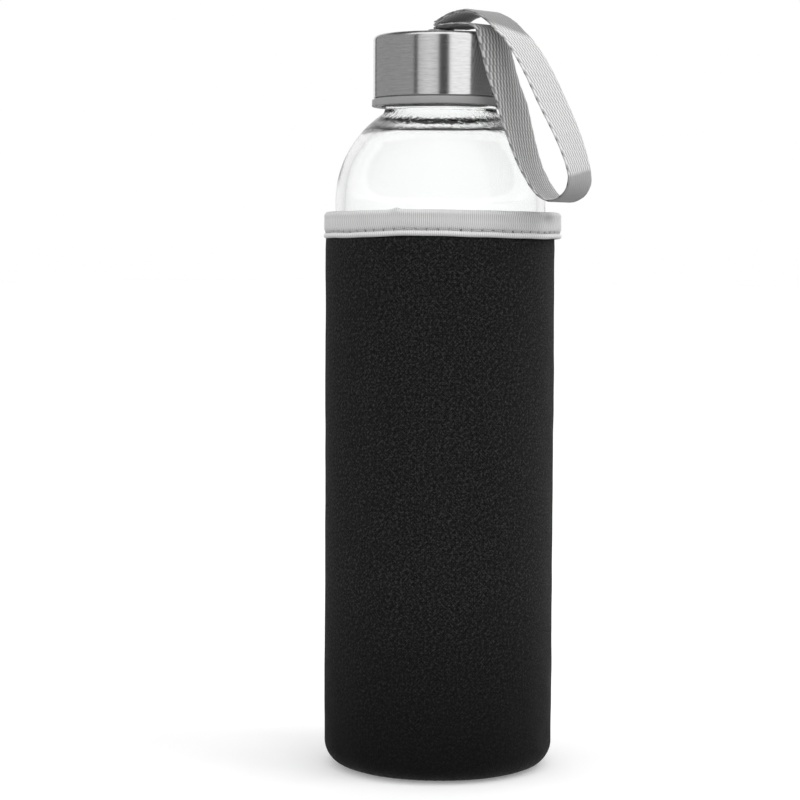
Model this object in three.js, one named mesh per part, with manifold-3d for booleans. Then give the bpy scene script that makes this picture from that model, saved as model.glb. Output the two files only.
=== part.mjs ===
// A 500 ml glass water bottle in a neoprene sleeve, with a screw lid and a webbing carry loop.
// Millimetres, +Z up. The origin is on the bottle's axis, on the surface that the sleeve stands on.
// The carry loop hangs towards +X, and its webbing is as wide as Y.
import * as THREE from "three";
import { mergeVertices } from "three/addons/utils/BufferGeometryUtils.js";
import Module from "manifold-3d";

const wasm = await Module();
wasm.setup();

// ---- driving dimensions ----
const SEGMENTS = 40; // facets round the axis
const GAP = 0.3; // between pieces that touch on the real bottle

const GLASS_RADIUS = 32.5;
const GLASS_WALL = 2.8;
const GLASS_FOOT_Z = 2.8;
const GLASS_CORNER = 5.2;
const GLASS_BASE_THICKNESS = 3.9;
const PUNT = 1.4; // how far the middle of the base is pushed up
const SHOULDER_Z = 175; // the shoulder is a hemisphere from here
const NECK_RADIUS = 17.3;
const NECK_FILLET = 2.0;
const FINISH_RADIUS = 16.8; // the threaded wall above the neck
const FINISH_Z = 207;
const MOUTH_RADIUS = 14.7;
const RIM_Z = 220.5;

const THREAD_PITCH = 4.2;
const THREAD_RADIUS = 1.0; // half the height of a thread ridge
const THREAD_TURNS = 1.5;
const THREAD_STEPS = 18; // per turn

const LID_TOP_Z = 226.1;
const LID_RADIUS = 20.95;
const COVER_THICKNESS = 0.5;
const COVER_BOTTOM_Z = 206.9;
const COVER_CORNER = 1.5;
const RING_RADIUS = 21.3; // the flange of the inner cap that shows below the cover
const RING_TOP_Z = 206.5;
const RING_BOTTOM_Z = 203.8;
const CAP_RADIUS = 20.1;
const CAP_BORE = 18.4;
const CAP_TOP_Z = 225.25;
const CAP_CEILING_Z = 222.3;
const CAP_POCKET_RADIUS = 5.2; // holds the rivet's tail
const CAP_POCKET_Z = 223.6;
const SEAL_INNER = 13.2;
const SEAL_OUTER = 17.9;
const SEAL_BOTTOM_Z = 220.8;
const SEAL_TOP_Z = 222.0;

const RIVET_RADIUS = 1.6;
const RIVET_HOLE = 1.9;
const RIVET_TAIL_RADIUS = 2.7;
const RIVET_TAIL_Z = [223.95, 224.5];
const RIVET_HEAD_RADIUS = 2.4;
const RIVET_HEAD_HEIGHT = 0.8;
const RIVET_HEAD_RIM = 0.3;
const TOP_WASHER = { radius: 4.1, low: 226.2, high: 228.0 }; // thick, to lift the webbing off the lid
const BACKING_WASHER = { radius: 4.5, low: 224.7, high: 225.3 };

const STRAP_WIDTH = 14;
const STRAP_THICKNESS = 1.2;
const STRAP_LOWER_END_Z = 228.1;
const STRAP_UPPER_END_Z = 229.4;
const STRAP_END_X = [-3.4, 3.6, 4.3]; // tip, full width, last flat place
const STRAP_TIP_WIDTH = 4;
// The middle of the webbing, as [x, z], from the rivet outwards. The hinges of the loop lie in the gaps.
const LOWER_RISE = [[6.4, 228.6], [10.0, 228.7], [13.5, 228.6], [16.8, 228.1]];
const UPPER_RISE = [[8.6, 231.6], [10.6, 232.2], [12.6, 232.5]];
const HANGING_LOOP = [
  [20.6, 231.1], [23.6, 229.5], [26.8, 227.2], [30.6, 223.9], [34.4, 219.7], [38.1, 214.7],
  [41.1, 210.0], [44.0, 205.0], [47.0, 200.0], [49.9, 195.0], [52.4, 190.0], [54.4, 185.0],
  [55.1, 181.2], [54.1, 178.0], [51.5, 175.8], [47.8, 174.9], [44.4, 175.9], [41.4, 178.2],
  [38.9, 181.3], [36.2, 185.4], [34.0, 190.0], [32.0, 195.0], [30.2, 200.0], [28.7, 205.0],
  [27.1, 210.0], [25.4, 215.0], [23.8, 220.0], [22.7, 223.4], [21.4, 226.0], [19.3, 227.4],
];

const SLEEVE_RADIUS = 35.1;
const SLEEVE_BORE = 32.8;
const SLEEVE_CORNER = 7.2;
const SLEEVE_FLOOR_RADIUS = 28.6;
const SLEEVE_FLOOR_THICKNESS = 2.4;
const HEM_Z = 164.0; // the neoprene is squeezed thinner above this, inside the rim tape
const HEM_RADII = [33.7, 34.9];
const HEM_TOP_Z = 170.8;
const TAPE_TOP_Z = 172.2;
const TAPE_RADII = [32.8, 33.4, 35.2, 36.1]; // inner leg, then outer leg
const TAPE_STITCH_Z = 166.0;
const TAPE_GROOVE = 0.6; // how far the stitching pulls the tape in
const TAPE_EDGE_Z = 164.3;
const THREAD_LINE = 0.25; // half the thickness of a sewing thread
const SIDE_SEAM = { width: 3, thickness: 0.5, low: 9, high: 163.4, angle: THREE.MathUtils.degToRad(132) };
const BOTTOM_SEAM = { radius: 29.45, thickness: 0.45 };

// ---- materials ----
const material = (color, roughness, metalness = 0, extra = {}) =>
  new THREE.MeshStandardMaterial({ color, roughness, metalness, ...extra });
const clearGlass = material(0xe9f0ee, 0.03, 0, { transparent: true, opacity: 0.35 });
const brushedSteel = material(0xb9b9b8, 0.32, 1);
const plainSteel = material(0xc6c6c6, 0.25, 1);
const greyPlastic = material(0x8b8b8b, 0.45);
const silicone = material(0xdfe1df, 0.6);
const greyWebbing = material(0x9b9b9b, 0.85);
const blackNeoprene = material(0x161616, 0.9);
const greyTape = material(0xc9c9c8, 0.85);
const greyThread = material(0xa9a9a8, 0.8);
const blackThread = material(0x1c1c1c, 0.85);

// ---- helpers ----
const line = (...pairs) => pairs.map(([r, z]) => new THREE.Vector2(r, z));

// Points on an arc in the profile plane, angles in degrees from +R towards +Z.
function arc(r, z, radius, from, to, steps) {
  return Array.from({ length: steps + 1 }, (_, i) => {
    const a = THREE.MathUtils.degToRad(from + ((to - from) * i) / steps);
    return new THREE.Vector2(r + radius * Math.cos(a), z + radius * Math.sin(a));
  });
}

// A profile turned about Z, which starts and ends on the axis.
const turned = (profile, segments = SEGMENTS) =>
  new THREE.LatheGeometry(profile, segments).rotateX(Math.PI / 2);

// A ring: its profile is closed by going back to its first point.
const turnedRing = (profile, segments = SEGMENTS) => turned([...profile, profile[0].clone()], segments);

const plainRing = (inner, outer, low, high, segments = SEGMENTS) =>
  turnedRing(line([inner, low], [outer, low], [outer, high], [inner, high]), segments);

const torus = (radius, z, thickness, sides = 8) =>
  new THREE.TorusGeometry(radius, thickness, sides, SEGMENTS).translate(0, 0, z);

function toSolid(geometry) {
  const bare = geometry.clone();
  bare.deleteAttribute("normal");
  bare.deleteAttribute("uv");
  const merged = mergeVertices(bare, 1e-4);
  return new wasm.Manifold(
    new wasm.Mesh({
      numProp: 3,
      vertProperties: merged.attributes.position.array,
      triVerts: new Uint32Array(merged.index.array),
    }),
  );
}

function toGeometry(solid) {
  const mesh = solid.getMesh();
  return new THREE.BufferGeometry()
    .setAttribute("position", new THREE.BufferAttribute(mesh.vertProperties, 3))
    .setIndex(new THREE.BufferAttribute(mesh.triVerts, 1));
}

class Helix extends THREE.Curve {
  constructor(radius, startZ, turns, phase) {
    super();
    Object.assign(this, { radius, startZ, turns, phase });
  }
  getPoint(t, target = new THREE.Vector3()) {
    const a = this.phase + t * this.turns * 2 * Math.PI;
    const z = this.startZ + t * this.turns * THREAD_PITCH;
    return target.set(this.radius * Math.cos(a), this.radius * Math.sin(a), z);
  }
}

// A rounded thread ridge whose middle runs along a helix.
function threadRidge(radius, startZ, phase) {
  const section = new THREE.Shape().absarc(0, 0, THREAD_RADIUS, 0, 2 * Math.PI);
  return new THREE.ExtrudeGeometry(section, {
    curveSegments: 4,
    steps: Math.round(THREAD_TURNS * THREAD_STEPS),
    extrudePath: new Helix(radius, startZ, THREAD_TURNS, phase),
  });
}

function named(name, geometry, look) {
  const mesh = new THREE.Mesh(geometry, look);
  mesh.name = name;
  return mesh;
}

function group(...children) {
  const g = new THREE.Group();
  g.add(...children);
  return g;
}

// ---- the bottle ----
const GLASS_THREAD_Z = 210.2;
function glassBottle() {
  const filletR = NECK_RADIUS + NECK_FILLET;
  const filletZ = SHOULDER_Z + Math.sqrt((GLASS_RADIUS + NECK_FILLET) ** 2 - filletR ** 2);
  const filletAngle = THREE.MathUtils.radToDeg(Math.atan2(filletZ - SHOULDER_Z, filletR));
  const inside = GLASS_RADIUS - GLASS_WALL;
  const mouthAngle = THREE.MathUtils.radToDeg(Math.acos(MOUTH_RADIUS / inside));
  const footR = GLASS_RADIUS - GLASS_CORNER;
  const floorZ = GLASS_FOOT_Z + GLASS_BASE_THICKNESS;
  const lip = 0.8;
  const profile = [
    ...line([0, GLASS_FOOT_Z + PUNT], [21, GLASS_FOOT_Z + 0.8 * PUNT], [25, GLASS_FOOT_Z]),
    ...arc(footR, GLASS_FOOT_Z + GLASS_CORNER, GLASS_CORNER, -90, 0, 4),
    ...arc(0, SHOULDER_Z, GLASS_RADIUS, 0, filletAngle, 7),
    ...arc(filletR, filletZ, NECK_FILLET, 180 + filletAngle, 180, 3).slice(1),
    ...line([NECK_RADIUS, FINISH_Z - 0.4], [FINISH_RADIUS, FINISH_Z]),
    ...arc(FINISH_RADIUS - lip, RIM_Z - lip, lip, 0, 90, 2),
    ...arc(MOUTH_RADIUS + lip, RIM_Z - lip, lip, 90, 180, 2),
    ...arc(0, SHOULDER_Z, inside, mouthAngle, 0, 6),
    ...arc(inside - GLASS_CORNER, floorZ + GLASS_CORNER, GLASS_CORNER, 0, -90, 3),
    ...line([0, floorZ + PUNT / 2]),
  ];
  const ridge = toSolid(threadRidge(FINISH_RADIUS + 0.2, GLASS_THREAD_Z, 0));
  return named("glass_bottle", toGeometry(toSolid(turned(profile)).add(ridge)), clearGlass);
}

// ---- the lid ----
function innerCap() {
  const profile = line(
    [0, CAP_CEILING_Z], [CAP_BORE, CAP_CEILING_Z], [CAP_BORE, RING_BOTTOM_Z + 0.3],
    [CAP_BORE + 0.3, RING_BOTTOM_Z], [RING_RADIUS - 0.3, RING_BOTTOM_Z],
    [RING_RADIUS, RING_BOTTOM_Z + 0.3], [RING_RADIUS, RING_TOP_Z - 0.2],
    [RING_RADIUS - 0.2, RING_TOP_Z], [CAP_RADIUS, RING_TOP_Z], [CAP_RADIUS, CAP_TOP_Z - 1],
    [CAP_RADIUS - 1, CAP_TOP_Z], [CAP_POCKET_RADIUS, CAP_TOP_Z],
    [CAP_POCKET_RADIUS, CAP_POCKET_Z], [0, CAP_POCKET_Z],
  );
  // Half a pitch below the bottle's ridge, so that its upper flank pulls up against it.
  const ridge = threadRidge(CAP_BORE, GLASS_THREAD_Z - THREAD_PITCH / 2, 0);
  return toGeometry(toSolid(turned(profile)).add(toSolid(ridge)));
}

function steelCover() {
  const inner = LID_RADIUS - COVER_THICKNESS;
  const cornerR = LID_RADIUS - COVER_CORNER;
  const cornerZ = LID_TOP_Z - COVER_CORNER;
  return turnedRing([
    ...line([RIVET_HOLE, LID_TOP_Z - COVER_THICKNESS]),
    ...arc(cornerR, cornerZ, COVER_CORNER - COVER_THICKNESS, 90, 0, 3),
    ...line([inner, COVER_BOTTOM_Z], [LID_RADIUS, COVER_BOTTOM_Z]),
    ...arc(cornerR, cornerZ, COVER_CORNER, 0, 90, 4),
    ...line([RIVET_HOLE, LID_TOP_Z]),
  ]);
}

function rivet() {
  const headZ = STRAP_UPPER_END_Z + STRAP_THICKNESS + 0.1;
  const [tailLow, tailHigh] = RIVET_TAIL_Z;
  // The head is a cap of a larger sphere, on a short straight rim.
  const domeHeight = RIVET_HEAD_HEIGHT - RIVET_HEAD_RIM;
  const domeRadius = (RIVET_HEAD_RADIUS ** 2 + domeHeight ** 2) / (2 * domeHeight);
  const rimAngle = THREE.MathUtils.radToDeg(Math.acos(RIVET_HEAD_RADIUS / domeRadius));
  const domeZ = headZ + RIVET_HEAD_HEIGHT - domeRadius;
  return turned(
    [
      ...line([0, tailLow], [RIVET_TAIL_RADIUS, tailLow], [RIVET_TAIL_RADIUS, tailHigh]),
      ...line([RIVET_RADIUS, tailHigh + 0.1], [RIVET_RADIUS, headZ], [RIVET_HEAD_RADIUS, headZ]),
      ...arc(0, domeZ, domeRadius, rimAngle, 90, 4).slice(0, -1),
      ...line([0, headZ + RIVET_HEAD_HEIGHT]),
    ],
    24,
  );
}

const washer = ({ radius, low, high }) => plainRing(RIVET_HOLE, radius, low, high, 32);

function lid() {
  return group(
    named("lid_inner_cap", innerCap(), greyPlastic),
    named("lid_steel_cover", steelCover(), brushedSteel),
    named("lid_seal_ring", plainRing(SEAL_INNER, SEAL_OUTER, SEAL_BOTTOM_Z, SEAL_TOP_Z), silicone),
    named("rivet_backing_washer", washer(BACKING_WASHER), plainSteel),
    named("rivet_top_washer", washer(TOP_WASHER), plainSteel),
    named("strap_rivet", rivet(), plainSteel),
  );
}

// ---- the carry loop ----
// An end of the webbing, flat under the rivet's head, with its corners trimmed off.
function strapEnd() {
  const [tip, wide, last] = STRAP_END_X;
  const half = STRAP_WIDTH / 2;
  const outline = new THREE.Shape([
    new THREE.Vector2(tip, -STRAP_TIP_WIDTH / 2), new THREE.Vector2(wide, -half),
    new THREE.Vector2(last, -half), new THREE.Vector2(last, half),
    new THREE.Vector2(wide, half), new THREE.Vector2(tip, STRAP_TIP_WIDTH / 2),
  ]);
  outline.holes.push(new THREE.Path().absarc(0, 0, RIVET_HOLE, 0, 2 * Math.PI, true));
  const depth = STRAP_THICKNESS;
  return new THREE.ExtrudeGeometry(outline, { depth, bevelEnabled: false, curveSegments: 12 });
}

// A stretch of webbing as wide as Y, whose middle follows a smooth curve through points in the XZ plane.
function strapStretch(points, steps) {
  const curve = new THREE.CatmullRomCurve3(points.map(([x, z]) => new THREE.Vector3(x, z, 0)));
  const side = (sign) =>
    Array.from({ length: steps + 1 }, (_, i) => {
      const at = curve.getPointAt(i / steps);
      const along = curve.getTangentAt(i / steps);
      const reach = (sign * STRAP_THICKNESS) / 2;
      return new THREE.Vector2(at.x - along.y * reach, at.y + along.x * reach);
    });
  const outline = new THREE.Shape([...side(1), ...side(-1).reverse()]);
  return new THREE.ExtrudeGeometry(outline, { depth: STRAP_WIDTH, bevelEnabled: false })
    .rotateX(Math.PI / 2)
    .translate(0, STRAP_WIDTH / 2, 0);
}

function carryLoop() {
  const lowerEnd = named("strap_lower_end", strapEnd(), greyWebbing);
  const upperEnd = named("strap_upper_end", strapEnd(), greyWebbing);
  lowerEnd.position.z = STRAP_LOWER_END_Z;
  upperEnd.position.z = STRAP_UPPER_END_Z;
  return group(
    lowerEnd,
    upperEnd,
    named("strap_lower_rise", strapStretch(LOWER_RISE, 8), greyWebbing),
    named("strap_upper_rise", strapStretch(UPPER_RISE, 6), greyWebbing),
    named("strap_hanging_loop", strapStretch(HANGING_LOOP, 72), greyWebbing),
  );
}

// ---- the sleeve ----
function sleeveSide() {
  const cornerR = SLEEVE_RADIUS - SLEEVE_CORNER;
  const wall = SLEEVE_RADIUS - SLEEVE_BORE;
  const [hemInner, hemOuter] = HEM_RADII;
  const turnIn = -68; // how far the side turns in under the bottle, in degrees
  return turnedRing([
    ...arc(cornerR, SLEEVE_CORNER, SLEEVE_CORNER, turnIn, 0, 6),
    ...line([SLEEVE_RADIUS, HEM_Z - 0.5], [hemOuter, HEM_Z], [hemOuter, HEM_TOP_Z]),
    ...line([hemInner, HEM_TOP_Z], [hemInner, HEM_Z], [SLEEVE_BORE, HEM_Z - 1]),
    ...arc(cornerR, SLEEVE_CORNER, SLEEVE_CORNER - wall, 0, turnIn, 5),
  ]);
}

function sleeveFloor() {
  const round = SLEEVE_FLOOR_THICKNESS / 2;
  return turned([
    ...line([0, 0]),
    ...arc(SLEEVE_FLOOR_RADIUS - round, round, round, -90, 90, 6),
    ...line([0, SLEEVE_FLOOR_THICKNESS]),
  ]);
}

// The rim tape: folded over the top edge, with a rolled lower edge outside, below the stitching.
function rimTape() {
  const [innerLow, innerHigh, outerLow, outerHigh] = TAPE_RADII;
  const groove = outerHigh - TAPE_GROOVE;
  const top = (innerLow + outerHigh) / 2;
  return turnedRing(line(
    [outerLow, TAPE_EDGE_Z + 0.4], [outerLow + 0.4, TAPE_EDGE_Z], [outerHigh, TAPE_EDGE_Z + 0.3],
    [outerHigh, TAPE_STITCH_Z - 0.5], [groove, TAPE_STITCH_Z - 0.1], [groove, TAPE_STITCH_Z + 0.3],
    [outerHigh - 0.2, TAPE_STITCH_Z + 1], [outerHigh, TAPE_STITCH_Z + 3], [outerHigh - 0.4, TAPE_TOP_Z - 0.9],
    [top, TAPE_TOP_Z], [innerLow + 0.3, TAPE_TOP_Z - 0.7], [innerLow, TAPE_STITCH_Z],
    [innerHigh, TAPE_STITCH_Z], [innerHigh, HEM_TOP_Z + GAP], [outerLow, HEM_TOP_Z + GAP],
  ));
}

function sideSeam() {
  const { width, thickness, low, high, angle } = SIDE_SEAM;
  const seam = new THREE.BoxGeometry(thickness, width, high - low);
  const mesh = named("sleeve_side_seam", seam, blackThread);
  const r = SLEEVE_RADIUS + GAP + thickness / 2;
  mesh.position.set(r * Math.cos(angle), r * Math.sin(angle), (low + high) / 2);
  mesh.rotation.z = angle;
  return mesh;
}

function sleeve() {
  const stitchRadius = TAPE_RADII[3] - TAPE_GROOVE + THREAD_LINE + GAP;
  const { radius, thickness } = BOTTOM_SEAM;
  return group(
    named("sleeve_side_panel", sleeveSide(), blackNeoprene),
    named("sleeve_bottom_panel", sleeveFloor(), blackNeoprene),
    named("sleeve_rim_tape", rimTape(), greyTape),
    named("rim_tape_stitching", torus(stitchRadius, TAPE_STITCH_Z + 0.1, THREAD_LINE, 6), greyThread),
    sideSeam(),
    named("sleeve_bottom_seam", torus(radius, thickness + 0.05, thickness), blackThread),
  );
}

export default group(glassBottle(), lid(), carryLoop(), sleeve());
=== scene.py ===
import math

import bmesh
import bpy
import numpy as np
from mathutils import Matrix, Vector
from mathutils.kdtree import KDTree


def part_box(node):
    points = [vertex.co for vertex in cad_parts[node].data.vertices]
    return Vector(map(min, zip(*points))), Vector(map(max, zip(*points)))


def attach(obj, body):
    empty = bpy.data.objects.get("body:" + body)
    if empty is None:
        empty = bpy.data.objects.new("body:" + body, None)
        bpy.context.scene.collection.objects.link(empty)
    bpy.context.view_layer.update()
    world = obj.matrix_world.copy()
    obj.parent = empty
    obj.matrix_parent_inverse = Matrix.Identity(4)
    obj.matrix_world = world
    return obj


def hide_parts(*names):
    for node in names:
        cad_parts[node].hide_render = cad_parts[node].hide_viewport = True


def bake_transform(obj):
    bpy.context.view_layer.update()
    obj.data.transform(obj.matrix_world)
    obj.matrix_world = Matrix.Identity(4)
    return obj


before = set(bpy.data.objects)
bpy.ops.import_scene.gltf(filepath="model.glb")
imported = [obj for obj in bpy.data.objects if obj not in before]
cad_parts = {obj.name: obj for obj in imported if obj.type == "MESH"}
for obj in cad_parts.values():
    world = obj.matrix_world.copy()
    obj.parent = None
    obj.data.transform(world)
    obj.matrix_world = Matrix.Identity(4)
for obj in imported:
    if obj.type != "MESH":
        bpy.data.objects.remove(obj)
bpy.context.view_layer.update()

# Lengths in this script are millimetres until a mesh is made.
MM = 0.001
TURN = 2 * math.pi
ROUND = 192  # facets round the axis on hard pieces


def cad(node):
    """Radius, lowest and highest z of a CAD node that is round about the axis, in millimetres."""
    low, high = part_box(node)
    return high.x / MM, low.z / MM, high.z / MM


def add_object(name, data):
    made = bpy.data.objects.new(name, data)
    bpy.context.scene.collection.objects.link(made)
    return made


# ---- camera ----
VIEW_AZIMUTH = math.radians(42)
CAMERA_DISTANCE = 735.3
CAMERA_HEIGHT = 160.5
PITCH_DOWN = math.radians(3.655)
TURNED_LEFT = math.radians(0.954)
ROLL = math.radians(0.233)
LENS = 106.39
SENSOR = 36

TO_RIGHT = Vector((math.cos(VIEW_AZIMUTH), math.sin(VIEW_AZIMUTH), 0))
TO_CAMERA = Vector((math.sin(VIEW_AZIMUTH), -math.cos(VIEW_AZIMUTH), 0))
UPWARD = Vector((0, 0, 1))


def make_camera():
    ahead = -TO_CAMERA * math.cos(TURNED_LEFT) - TO_RIGHT * math.sin(TURNED_LEFT)
    side = TO_RIGHT * math.cos(TURNED_LEFT) - TO_CAMERA * math.sin(TURNED_LEFT)
    forward = ahead * math.cos(PITCH_DOWN) - UPWARD * math.sin(PITCH_DOWN)
    above = ahead * math.sin(PITCH_DOWN) + UPWARD * math.cos(PITCH_DOWN)
    right = side * math.cos(ROLL) + above * math.sin(ROLL)
    top = above * math.cos(ROLL) - side * math.sin(ROLL)
    data = bpy.data.cameras.new("photo_view")
    data.lens = LENS
    data.sensor_width = SENSOR
    data.clip_end = 100
    camera = add_object("photo_view", data)
    place = (TO_CAMERA * CAMERA_DISTANCE + UPWARD * CAMERA_HEIGHT) * MM
    turned = Matrix((right, top, -forward)).transposed().to_4x4()
    camera.matrix_world = Matrix.Translation(place) @ turned
    bpy.context.scene.camera = camera


make_camera()


# ---- outlines ----
def arc(r, z, radius, start, end, steps):
    """Points of an arc in the profile plane, angles in degrees from +R towards +Z."""
    angles = np.radians(np.linspace(start, end, steps + 1))
    return [(r + radius * math.cos(a), z + radius * math.sin(a)) for a in angles]


def straight(start, end, steps):
    """Points from start up to, and without, end."""
    return [tuple(np.array(start) + (np.array(end) - start) * i / steps) for i in range(steps)]


def smooth_path(points, step):
    """A Catmull-Rom curve through points, as equally spaced points about step apart."""
    p = np.array(points, float)
    p = np.vstack([2 * p[0] - p[1], p, 2 * p[-1] - p[-2]])
    t = np.linspace(0, 1, 32, endpoint=False)[:, None]
    spans = []
    for a, b, c, d in zip(p, p[1:], p[2:], p[3:]):
        spans.append(b + 0.5 * t * (c - a + t * (2 * a - 5 * b + 4 * c - d + t * (3 * b - a - 3 * c + d))))
    dense = np.vstack([*spans, p[-2:-1]])
    return even_steps(dense, step)


def even_steps(dense, step):
    lengths = np.concatenate([[0], np.cumsum(np.linalg.norm(np.diff(dense, axis=0), axis=1))])
    count = max(2, round(lengths[-1] / step))
    wanted = np.linspace(0, lengths[-1], count + 1)
    return np.stack([np.interp(wanted, lengths, column) for column in dense.T], 1)


def smoothstep(x):
    x = np.clip(x, 0, 1)
    return x * x * (3 - 2 * x)


def angle_from(angle, middle):
    """Signed angle from middle, between minus and plus half a turn."""
    return np.mod(angle - middle + math.pi, TURN) - math.pi


def round_points(r, angle, z):
    """Points at a distance from the axis, an angle and a height."""
    return np.stack([r * np.cos(angle), r * np.sin(angle), z], 1)


def ripple(angle, z, seed, height, rounds=9, wavelength=60):
    """Slow unevenness over a round surface, the same each run."""
    rng = np.random.default_rng(seed)
    total = np.zeros(np.broadcast(angle, z).shape)
    waves = 10
    for _ in range(waves):
        around = rng.integers(2, rounds + 1)
        along = TURN / (wavelength * rng.uniform(0.6, 2.5))
        total = total + np.cos(around * angle + along * z + rng.uniform(0, TURN))
    return height * total / math.sqrt(waves)


# ---- meshes ----
def grid_piece(name, grids, material, sharp_degrees=40):
    """One object from grids of points: (points, wraps over rows, wraps over columns, u, v) each.
    Points that fall together, as at a pole or an end, are merged. u and v are in millimetres."""
    corners, faces, uvs = [], [], []
    offset = 0
    for points, wrap_rows, wrap_cols, u, v in grids:
        rows, cols = points.shape[:2]
        quad_rows = rows if wrap_rows else rows - 1
        quad_cols = cols if wrap_cols else cols - 1
        row, col = np.meshgrid(np.arange(quad_rows), np.arange(quad_cols), indexing="ij")
        row, col = row.ravel(), col.ravel()
        steps = ((0, 0), (0, 1), (1, 1), (1, 0))
        quads = [((row + r) % rows) * cols + (col + c) % cols + offset for r, c in steps]
        faces.append(np.stack(quads, 1))
        uvs.append(np.stack([np.stack([u[col + c], v[row + r]], 1) for r, c in steps], 1))
        corners.append(points.reshape(-1, 3))
        offset += rows * cols
    corners, faces, uvs = np.vstack(corners) * MM, np.vstack(faces), np.vstack(uvs)
    mesh = bpy.data.meshes.new(name)
    mesh.from_pydata(corners.tolist(), [], faces.tolist())
    layer = mesh.uv_layers.new(name="surface")
    layer.data.foreach_set("uv", (uvs * MM).astype(np.float32).ravel())
    tidy = bmesh.new()
    tidy.from_mesh(mesh)
    bmesh.ops.remove_doubles(tidy, verts=tidy.verts, dist=1e-7)
    bmesh.ops.recalc_face_normals(tidy, faces=tidy.faces)
    tidy.to_mesh(mesh)
    tidy.free()
    mesh.shade_smooth()
    mesh.set_sharp_from_angle(angle=math.radians(sharp_degrees))
    mesh.materials.append(material)
    return add_object(name, mesh)


def lathe_grid(profile, closed=False, shape=None, segments=ROUND):
    """A profile of (r, z) turned about the axis. shape(angle, r, z, along) may move its points."""
    profile = np.array(profile, float)
    ends = np.vstack([profile, profile[:1]]) if closed else profile
    along = np.concatenate([[0], np.cumsum(np.linalg.norm(np.diff(ends, axis=0), axis=1))])
    angle = np.arange(segments) * TURN / segments
    r = np.repeat(profile[:, :1], segments, 1)
    z = np.repeat(profile[:, 1:], segments, 1)
    if shape:
        r, z = shape(angle[None, :], r, z, along[: len(profile), None])
    points = np.stack([r * np.cos(angle), r * np.sin(angle), z], 2)
    u = np.linspace(0, TURN * profile[:, 0].max(), segments + 1)
    return points, closed, True, u, along


def tube_grid(path, radii, sides=8, closed=False):
    """A round tube along a path of points. A radius of nearly nothing at an end closes it."""
    path = np.asarray(path, float)
    count = len(path)
    radii = np.broadcast_to(np.asarray(radii, float), (count,))
    if closed:
        along = np.roll(path, -1, 0) - np.roll(path, 1, 0)
    else:
        along = np.gradient(path, axis=0)
    along /= np.linalg.norm(along, axis=1)[:, None]
    outward = path * (1, 1, 0)
    outward -= (outward * along).sum(1)[:, None] * along
    outward /= np.linalg.norm(outward, axis=1)[:, None]
    across = np.cross(along, outward)
    turn = np.arange(sides) * TURN / sides
    ring = np.cos(turn)[None, :, None] * outward[:, None] + np.sin(turn)[None, :, None] * across[:, None]
    points = path[:, None] + ring * radii[:, None, None]
    steps = np.linalg.norm(np.diff(np.vstack([path, path[:1]]), axis=0), axis=1)
    v = np.concatenate([[0], np.cumsum(steps)])
    u = np.linspace(0, TURN * radii.max(), sides + 1)
    return points, closed, True, u, v


def assign(piece, body, node):
    """Puts a piece under the body it moves with, and hides the CAD node that it is the look of."""
    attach(piece, body)
    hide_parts(node)


# ---- materials ----
def grey(value):
    return (value, value, value, 1)


class Nodes:
    """A node tree that is built up call by call."""

    def __init__(self, tree):
        self.nodes, self.links = tree.nodes, tree.links

    def node(self, kind, inputs=(), **settings):
        made = self.nodes.new("ShaderNode" + kind)
        for key, value in settings.items():
            setattr(made, key, value)
        for socket, value in dict(inputs).items():
            self.put(value, made.inputs[socket])
        return made

    def put(self, value, socket):
        if isinstance(value, bpy.types.NodeSocket):
            self.links.new(value, socket)
        else:
            socket.default_value = value

    def math(self, operation, *values):
        return self.node("Math", enumerate(values), operation=operation).outputs[0]

    def plus(self, first, second):
        return self.math("ADD", first, second)

    def less(self, first, second):
        return self.math("SUBTRACT", first, second)

    def times(self, first, second):
        return self.math("MULTIPLY", first, second)

    def ramp(self, value, *stops):
        """Grey levels or colours by place, as (place, level) from 0 to 1."""
        made = self.node("ValToRGB", {0: value})
        elements = made.color_ramp.elements
        while len(elements) < len(stops):
            elements.new(1.0)
        for element, (position, level) in zip(elements, stops):
            element.position = position
            element.color = level if isinstance(level, tuple) else grey(level)
        return made.outputs[0]


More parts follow.
